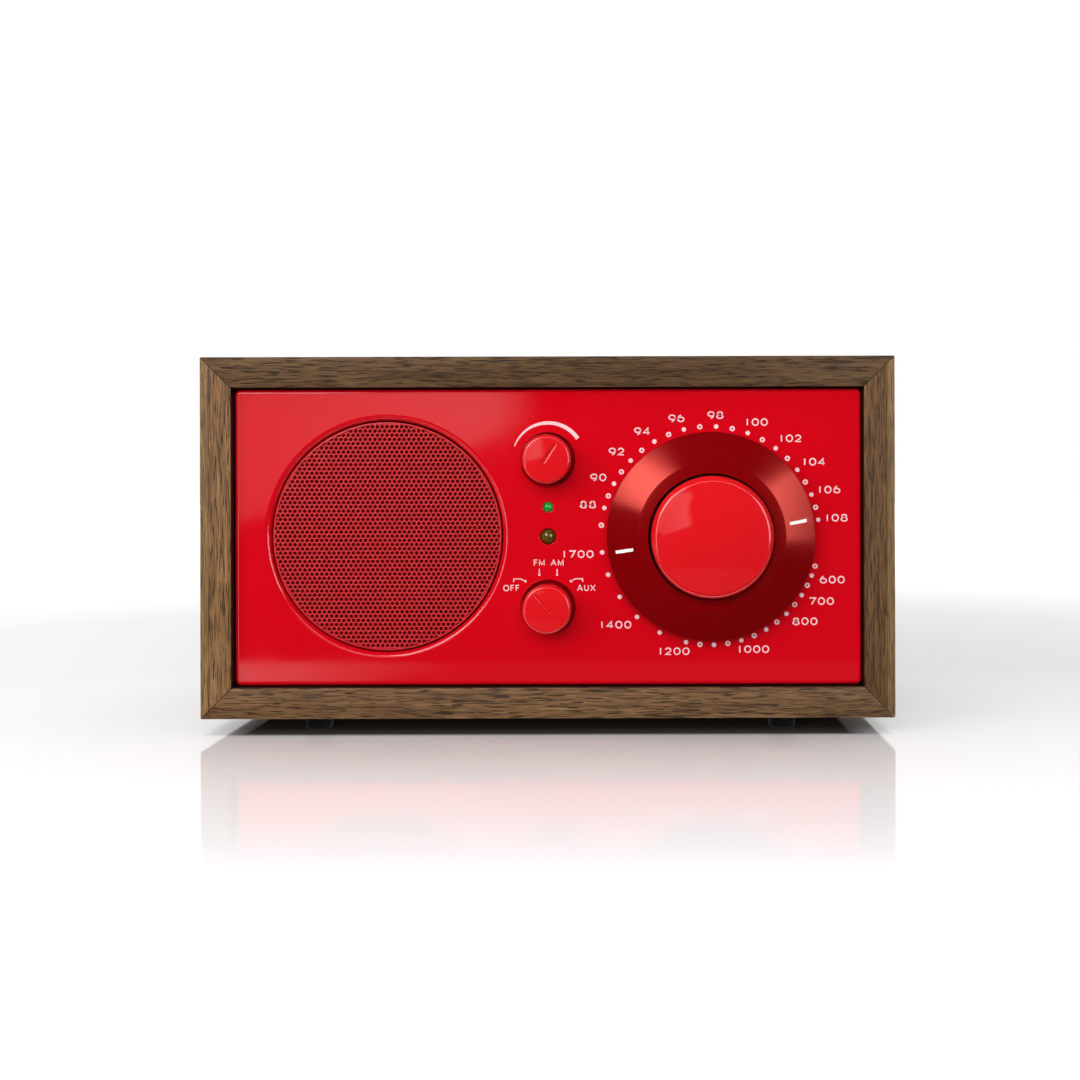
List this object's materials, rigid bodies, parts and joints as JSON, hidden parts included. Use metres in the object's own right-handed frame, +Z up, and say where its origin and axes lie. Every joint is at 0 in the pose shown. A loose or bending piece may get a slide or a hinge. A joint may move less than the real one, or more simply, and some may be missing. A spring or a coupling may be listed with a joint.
{
  "type": "tabletop radio",
  "caption": "Wooden-cased tabletop radio with a glossy red front: round perforated loudspeaker grille, two small knobs, lamps and a large geared tuning dial.",
  "frame": {"origin": "on the surface it stands on, at the middle of the whole radio's width and depth (tuning knob and aerial socket included)", "axes": "+X to the right as seen from the front, +Y from the front to the back, +Z up"},
  "size_m": [0.2126, 0.1334, 0.1158],
  "materials": {
    "walnut": "oiled walnut veneer, low sheen, fine dark pores along the grain of each board",
    "softwood": "planed, unfinished",
    "red_gloss": "polished lacquer, mirror-like reflections",
    "red_mesh": "satin paint on perforated steel sheet",
    "red_anodised": "finely turned and anodised, satin",
    "ivory": "smooth",
    "rubber": "matt moulded",
    "black_plastic": "fine moulded texture",
    "nylon": "natural, smooth",
    "steel": "bright zinc plating",
    "dark_iron": "thin black coating on pressed steel",
    "ferrite": "fired, matt grey-black",
    "copper": "copper winding on an aluminium former",
    "brass": "turned",
    "cone_paper": "pressed paper pulp",
    "green_lens": "clear tinted lens, lit",
    "amber_lens": "clear tinted lens, not lit",
    "circuit_board": "solder resist on glass laminate"
  },
  "bodies": {
    "cabinet": {"aerial_socket": "brass", "bass_port": "black_plastic", "cabinet_bottom": "walnut", "cabinet_left": "walnut", "cabinet_right": "walnut", "cabinet_top": "walnut", "cleat_left": "softwood", "cleat_right": "softwood", "driver_basket": "dark_iron", "driver_magnet": "ferrite", "driver_screw_1": "steel", "driver_screw_2": "steel", "driver_screw_3": "steel", "driver_screw_4": "steel", "driver_spider": "cone_paper", "driver_surround": "rubber", "driver_top_plate": "steel", "driver_yoke": "steel", "ferrite_rod": "ferrite", "foot_front_left": "rubber", "foot_front_right": "rubber", "foot_rear_left": "rubber", "foot_rear_right": "rubber", "front_panel": "red_gloss", "gear_housing": "black_plastic", "main_board": "circuit_board", "mains_inlet": "black_plastic", "power_lamp": "green_lens", "power_transformer": "dark_iron", "rear_panel": "black_plastic", "rear_screw_1": "steel", "rear_screw_2": "steel", "rear_screw_3": "steel", "rear_screw_4": "steel", "ring_gear": "nylon", "socket_strip": "black_plastic", "source_switch": "steel", "speaker_grille": "red_mesh", "tuning_capacitor": "nylon", "tuning_lamp": "amber_lens", "volume_potentiometer": "steel"},
    "dial": {"dial_ring": "red_anodised", "dial_hub": "black_plastic", "pointer_fm": "ivory", "pointer_am": "ivory", "planet_carrier": "black_plastic"},
    "tuner": {"tuning_knob": "red_gloss", "sun_gear": "brass"},
    "planet_1": {"planet_gear_1": "nylon"},
    "planet_2": {"planet_gear_2": "nylon"},
    "planet_3": {"planet_gear_3": "nylon"},
    "volume": {"volume_knob": "red_gloss", "volume_shaft": "steel"},
    "source": {"source_knob": "red_gloss", "source_shaft": "steel"},
    "cone": {"driver_cone": "cone_paper", "driver_dust_cap": "cone_paper", "voice_coil": "copper"},
    "aerial_slider": {"aerial_switch": "ivory"},
    "pairing": {"pair_button": "ivory"}
  },
  "joints": [
    {"name": "dial_turn", "type": "hinge", "parent": "cabinet", "child": "dial", "pos_m": [0.0499, -0.04825, 0.0607], "axis": [0, -1, 0], "range_deg": [-6, 174]},
    {"name": "tuning_turn", "type": "hinge", "parent": "cabinet", "child": "tuner", "pos_m": [0.0499, -0.04825, 0.0607], "axis": [0, -1, 0], "range_deg": [-31, 871]},
    {"name": "planet_1_turn", "type": "hinge", "parent": "dial", "child": "planet_1", "pos_m": [0.0499, -0.04825, 0.0727], "axis": [0, -1, 0], "range_deg": [-465, 17]},
    {"name": "planet_2_turn", "type": "hinge", "parent": "dial", "child": "planet_2", "pos_m": [0.03951, -0.04825, 0.0547], "axis": [0, -1, 0], "range_deg": [-465, 17]},
    {"name": "planet_3_turn", "type": "hinge", "parent": "dial", "child": "planet_3", "pos_m": [0.06029, -0.04825, 0.0547], "axis": [0, -1, 0], "range_deg": [-465, 17]},
    {"name": "volume_turn", "type": "hinge", "parent": "cabinet", "child": "volume", "pos_m": [0, -0.04825, 0.08425], "axis": [0, -1, 0], "range_deg": [-117, 183]},
    {"name": "source_turn", "type": "hinge", "parent": "cabinet", "child": "source", "pos_m": [0, -0.04825, 0.0388], "axis": [0, -1, 0], "range_deg": [-80, 0]},
    {"name": "cone_travel", "type": "slide", "parent": "cabinet", "child": "cone", "axis": [0, -1, 0], "range_m": [-0.0015, 0.0015], "stiffness_N_per_m": 800, "deforming": ["driver_surround", "driver_spider"]},
    {"name": "aerial_slide", "type": "slide", "parent": "cabinet", "child": "aerial_slider", "axis": [1, 0, 0], "range_m": [0, 0.004]},
    {"name": "pair_press", "type": "slide", "parent": "cabinet", "child": "pairing", "axis": [0, -1, 0], "range_m": [0, 0.0012], "stiffness_N_per_m": 600}
  ],
  "couplings": [
    {"joint": "tuning_turn", "follows": "dial_turn", "ratio": 5},
    {"joint": "planet_1_turn", "follows": "dial_turn", "ratio": -2.6667},
    {"joint": "planet_2_turn", "follows": "dial_turn", "ratio": -2.6667},
    {"joint": "planet_3_turn", "follows": "dial_turn", "ratio": -2.6667}
  ]
}
